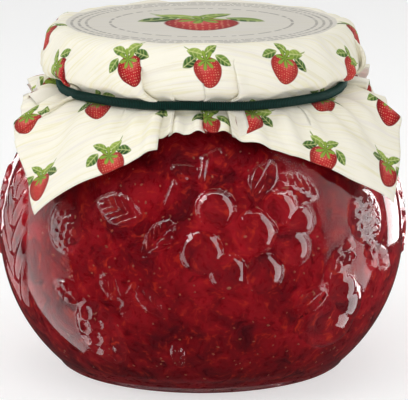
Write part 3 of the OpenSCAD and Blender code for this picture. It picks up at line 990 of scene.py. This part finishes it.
def make_cover():
    flat, limit, distance = cloth_grid()
    turn, layer = pleated(flat, distance)
    flat_x = distance * np.sin(np.radians(flat))
    flat_y = -distance * np.cos(np.radians(flat))
    radius, height, slope = base_place(distance, turn)
    lift = cloth_lift(distance, turn, layer, limit, flat_x, flat_y)
    radius = radius + lift * np.sin(np.radians(slope))
    height = height + lift * np.cos(np.radians(slope))
    skirt = distance > SKIRT_START + 0.1
    pushed_r, pushed_z = stay_off_glass(radius, height, 0.5 + layer * LAYER)
    radius = np.where(skirt, pushed_r, radius)
    height = np.where(skirt, pushed_z, height)

    way = np.radians(turn - 90.0)
    points = np.stack([radius * np.cos(way), radius * np.sin(way), height], -1).reshape(-1, 3)
    points = np.vstack([points, [(0.0, 0.0, PATH[0, 1])]])
    faces = ring_faces(len(distance), CLOTH_COLUMNS) + fan_faces(0, CLOTH_COLUMNS, len(points) - 1, False)
    # rings run outwards from the middle, so their faces are turned over to face out
    piece = mesh_piece("cloth_cover", points, [face[::-1] for face in faces], printed_cotton())
    piece.data.materials.append(cotton_back())
    stored = piece.data.attributes.new("flat_cloth", "FLOAT_VECTOR", "POINT")
    flat_points = np.stack([flat_x, flat_y, np.zeros_like(flat_x)], -1).reshape(-1)
    stored.data.foreach_set("vector", np.append(flat_points, [0.0, 0.0, 0.0]).astype(np.float32))
    thick = piece.modifiers.new("cloth thickness", "SOLIDIFY")
    thick.thickness = CLOTH * MM
    thick.offset = 0.0
    thick.material_offset = 1
    return piece


# ---------------------------------------------------------------- cord

def make_cord():
    """Cord pulled round the cloth: fine ribs across it, on a ring that wanders a little in and out and up
    and down.
    """
    ribs = CORD_RIBS
    per_rib = 4
    sides = 14
    count = ribs * per_rib
    way = np.arange(count) * 2.0 * math.pi / count
    rib = 0.5 - 0.5 * np.cos(2.0 * math.pi * np.arange(count) / per_rib)
    ring = CORD_RING + 0.12 * np.sin(7.0 * way + 1.0) + 0.06 * np.sin(19.0 * way)
    level = CORD_HEIGHT + 0.16 * np.sin(3.0 * way + 0.4) + 0.12 * np.sin(8.0 * way + 2.0)
    a = np.arange(sides) * 2.0 * math.pi / sides
    thick = (CORD_THICKNESS / 2 - 0.05) * (1.0 - 0.13 * (1.0 - rib))
    r = ring[:, None] + thick[:, None] * np.cos(a) * 0.93
    z = level[:, None] + thick[:, None] * np.sin(a) * 1.04
    points = np.stack([r * np.cos(way)[:, None], r * np.sin(way)[:, None], z], -1).reshape(-1, 3)
    faces = []
    for i in range(count):
        n = (i + 1) % count
        for s in range(sides):
            t = (s + 1) % sides
            faces.append((i * sides + s, n * sides + s, n * sides + t, i * sides + t))
    return mesh_piece("elastic_cord", points, faces, woven_elastic())


# ---------------------------------------------------------------- build

glass = make_glass()
jam = make_jam()
seeds = make_seeds()
cover = make_cover()
cord = make_cord()

for piece in (glass, jam, seeds, cover, cord):
    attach(piece, "root")
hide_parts("glass_jar")
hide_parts("jam")
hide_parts("cover")
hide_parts("elastic")

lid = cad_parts["lid"]
lid.data.materials.clear()
lid.data.materials.append(lacquered_tinplate())


# ---------------------------------------------------------------- floor, light and camera

FLOOR_RADIUS = 4000.0
FLOOR_SIDES = 64
LAMP_AIM = Vector((0.0, 0.0, 0.045))
# Lamps: name, azimuth, elevation, distance, width, height, brightness, and whether the glass mirrors it
LAMPS = (
    ("left window", -99.0, -6.0, 0.6, 0.5, 1.25, 2.5, True),
    ("left strip", -154.0, 10.0, 0.6, 0.1, 0.5, 3.0, True),
    ("right window", 137.0, 14.0, 0.6, 0.24, 0.62, 6.0, True),
    ("right strip", 159.0, 10.0, 0.6, 0.04, 0.5, 5.0, True),
    ("right side", 92.0, 10.0, 0.6, 0.5, 1.4, 4.6, True),
    ("mirrored back", 180.0, 52.0, 0.7, 0.8, 0.8, 7.0, True),
    ("left crown", -93.0, 46.0, 0.6, 0.32, 0.28, 10.0, True),
    ("top fill", 0.0, 76.0, 0.9, 0.6, 0.6, 1.5, False),
    ("key", 8.0, 24.0, 0.9, 0.7, 0.6, 1.2, False),
    ("left side", -70.0, 30.0, 0.9, 0.6, 0.6, 1.5, False),
)

def matt_floor():
    # Painted board: pale, matt, with a barely seen tooth. A little light of its own keeps it one
    # tone beyond the lamps.
    material, node = new_material("matt painted board")
    place = node("TexCoord", out="Object")
    tooth = node("TexNoise", {"Vector": place, "Scale": blotches(3.3), "Detail": 2.0})
    bump = node("Bump", {"Strength": 0.05, "Distance": 0.2 * MM, "Height": tooth})
    surface = node("BsdfPrincipled", {
        "Base Color": linear_colour("#bababa"), "Roughness": 0.9, "Specular IOR Level": 0.1,
        "Emission Color": WHITE, "Emission Strength": 0.55, "Normal": bump})
    node("OutputMaterial", {"Surface": surface})
    return material


def make_floor():
    turns = np.arange(FLOOR_SIDES) * 2.0 * math.pi / FLOOR_SIDES
    around = np.stack([FLOOR_RADIUS * np.cos(turns), FLOOR_RADIUS * np.sin(turns), 0.0 * turns], -1)
    floor = mesh_piece("floor", around, [tuple(range(FLOOR_SIDES))], matt_floor(), smooth=False)
    floor.visible_glossy = False


def soft_box(name, azimuth, elevation, distance, width, height, brightness, mirrored):
    """Rectangular lamp that faces the jar; one that is mirrored in the glass doesn't light the cloth."""
    a, e = math.radians(azimuth), math.radians(elevation)
    back = Vector((math.sin(a) * math.cos(e), -math.cos(a) * math.cos(e), math.sin(e)))
    data = bpy.data.lights.new(name, "AREA")
    data.shape = "RECTANGLE"
    data.size, data.size_y = width, height
    data.energy = brightness * math.pi * width * height
    lamp = bpy.data.objects.new(name, data)
    lamp.location = LAMP_AIM + back * distance
    lamp.rotation_mode = "QUATERNION"
    lamp.rotation_quaternion = back.to_track_quat("Z", "Y")
    lamp.visible_glossy = mirrored
    lamp.visible_diffuse = not mirrored
    lamp.visible_camera = False
    bpy.context.scene.collection.objects.link(lamp)


def make_world():
    """One pale tone behind the jar, soft room light on it, and almost nothing mirrored in the glass."""
    world = bpy.data.worlds.new("studio")
    bpy.context.scene.world = world
    world.use_nodes = True
    world.node_tree.nodes.clear()
    node = node_adder(world.node_tree)
    ray = node("LightPath").node.outputs
    backdrop = node("Background", {"Color": WHITE, "Strength": 0.78})
    room = node("Background", {"Color": (1.0, 0.99, 0.98, 1.0), "Strength": 0.5})
    mirrored = node("Background", {"Color": (1.0, 0.97, 0.97, 1.0), "Strength": 0.04})
    seen = node("MixShader", [ray["Is Camera Ray"], room, backdrop])
    seen = node("MixShader", [ray["Is Glossy Ray"], seen, mirrored])
    node("OutputWorld", {"Surface": seen})


def make_camera():
    """Long lens, looking a little down at the front of the jar."""
    distance = 0.854
    pitch = math.radians(12.6)
    level = 0.040
    aim = Vector((0.0007, 0.0, 0.0455))
    data = bpy.data.cameras.new("studio camera")
    data.sensor_width = 36.0
    data.lens = 270.9
    camera = bpy.data.objects.new("studio camera", data)
    camera.location = (0.0, -distance * math.cos(pitch), level + distance * math.sin(pitch))
    camera.rotation_mode = "QUATERNION"
    camera.rotation_quaternion = (aim - camera.location).to_track_quat("-Z", "Y")
    bpy.context.scene.collection.objects.link(camera)
    bpy.context.scene.camera = camera


make_floor()
make_world()
make_camera()
for lamp in LAMPS:
    soft_box(*lamp)
bpy.context.scene.view_settings.view_transform = "Standard"
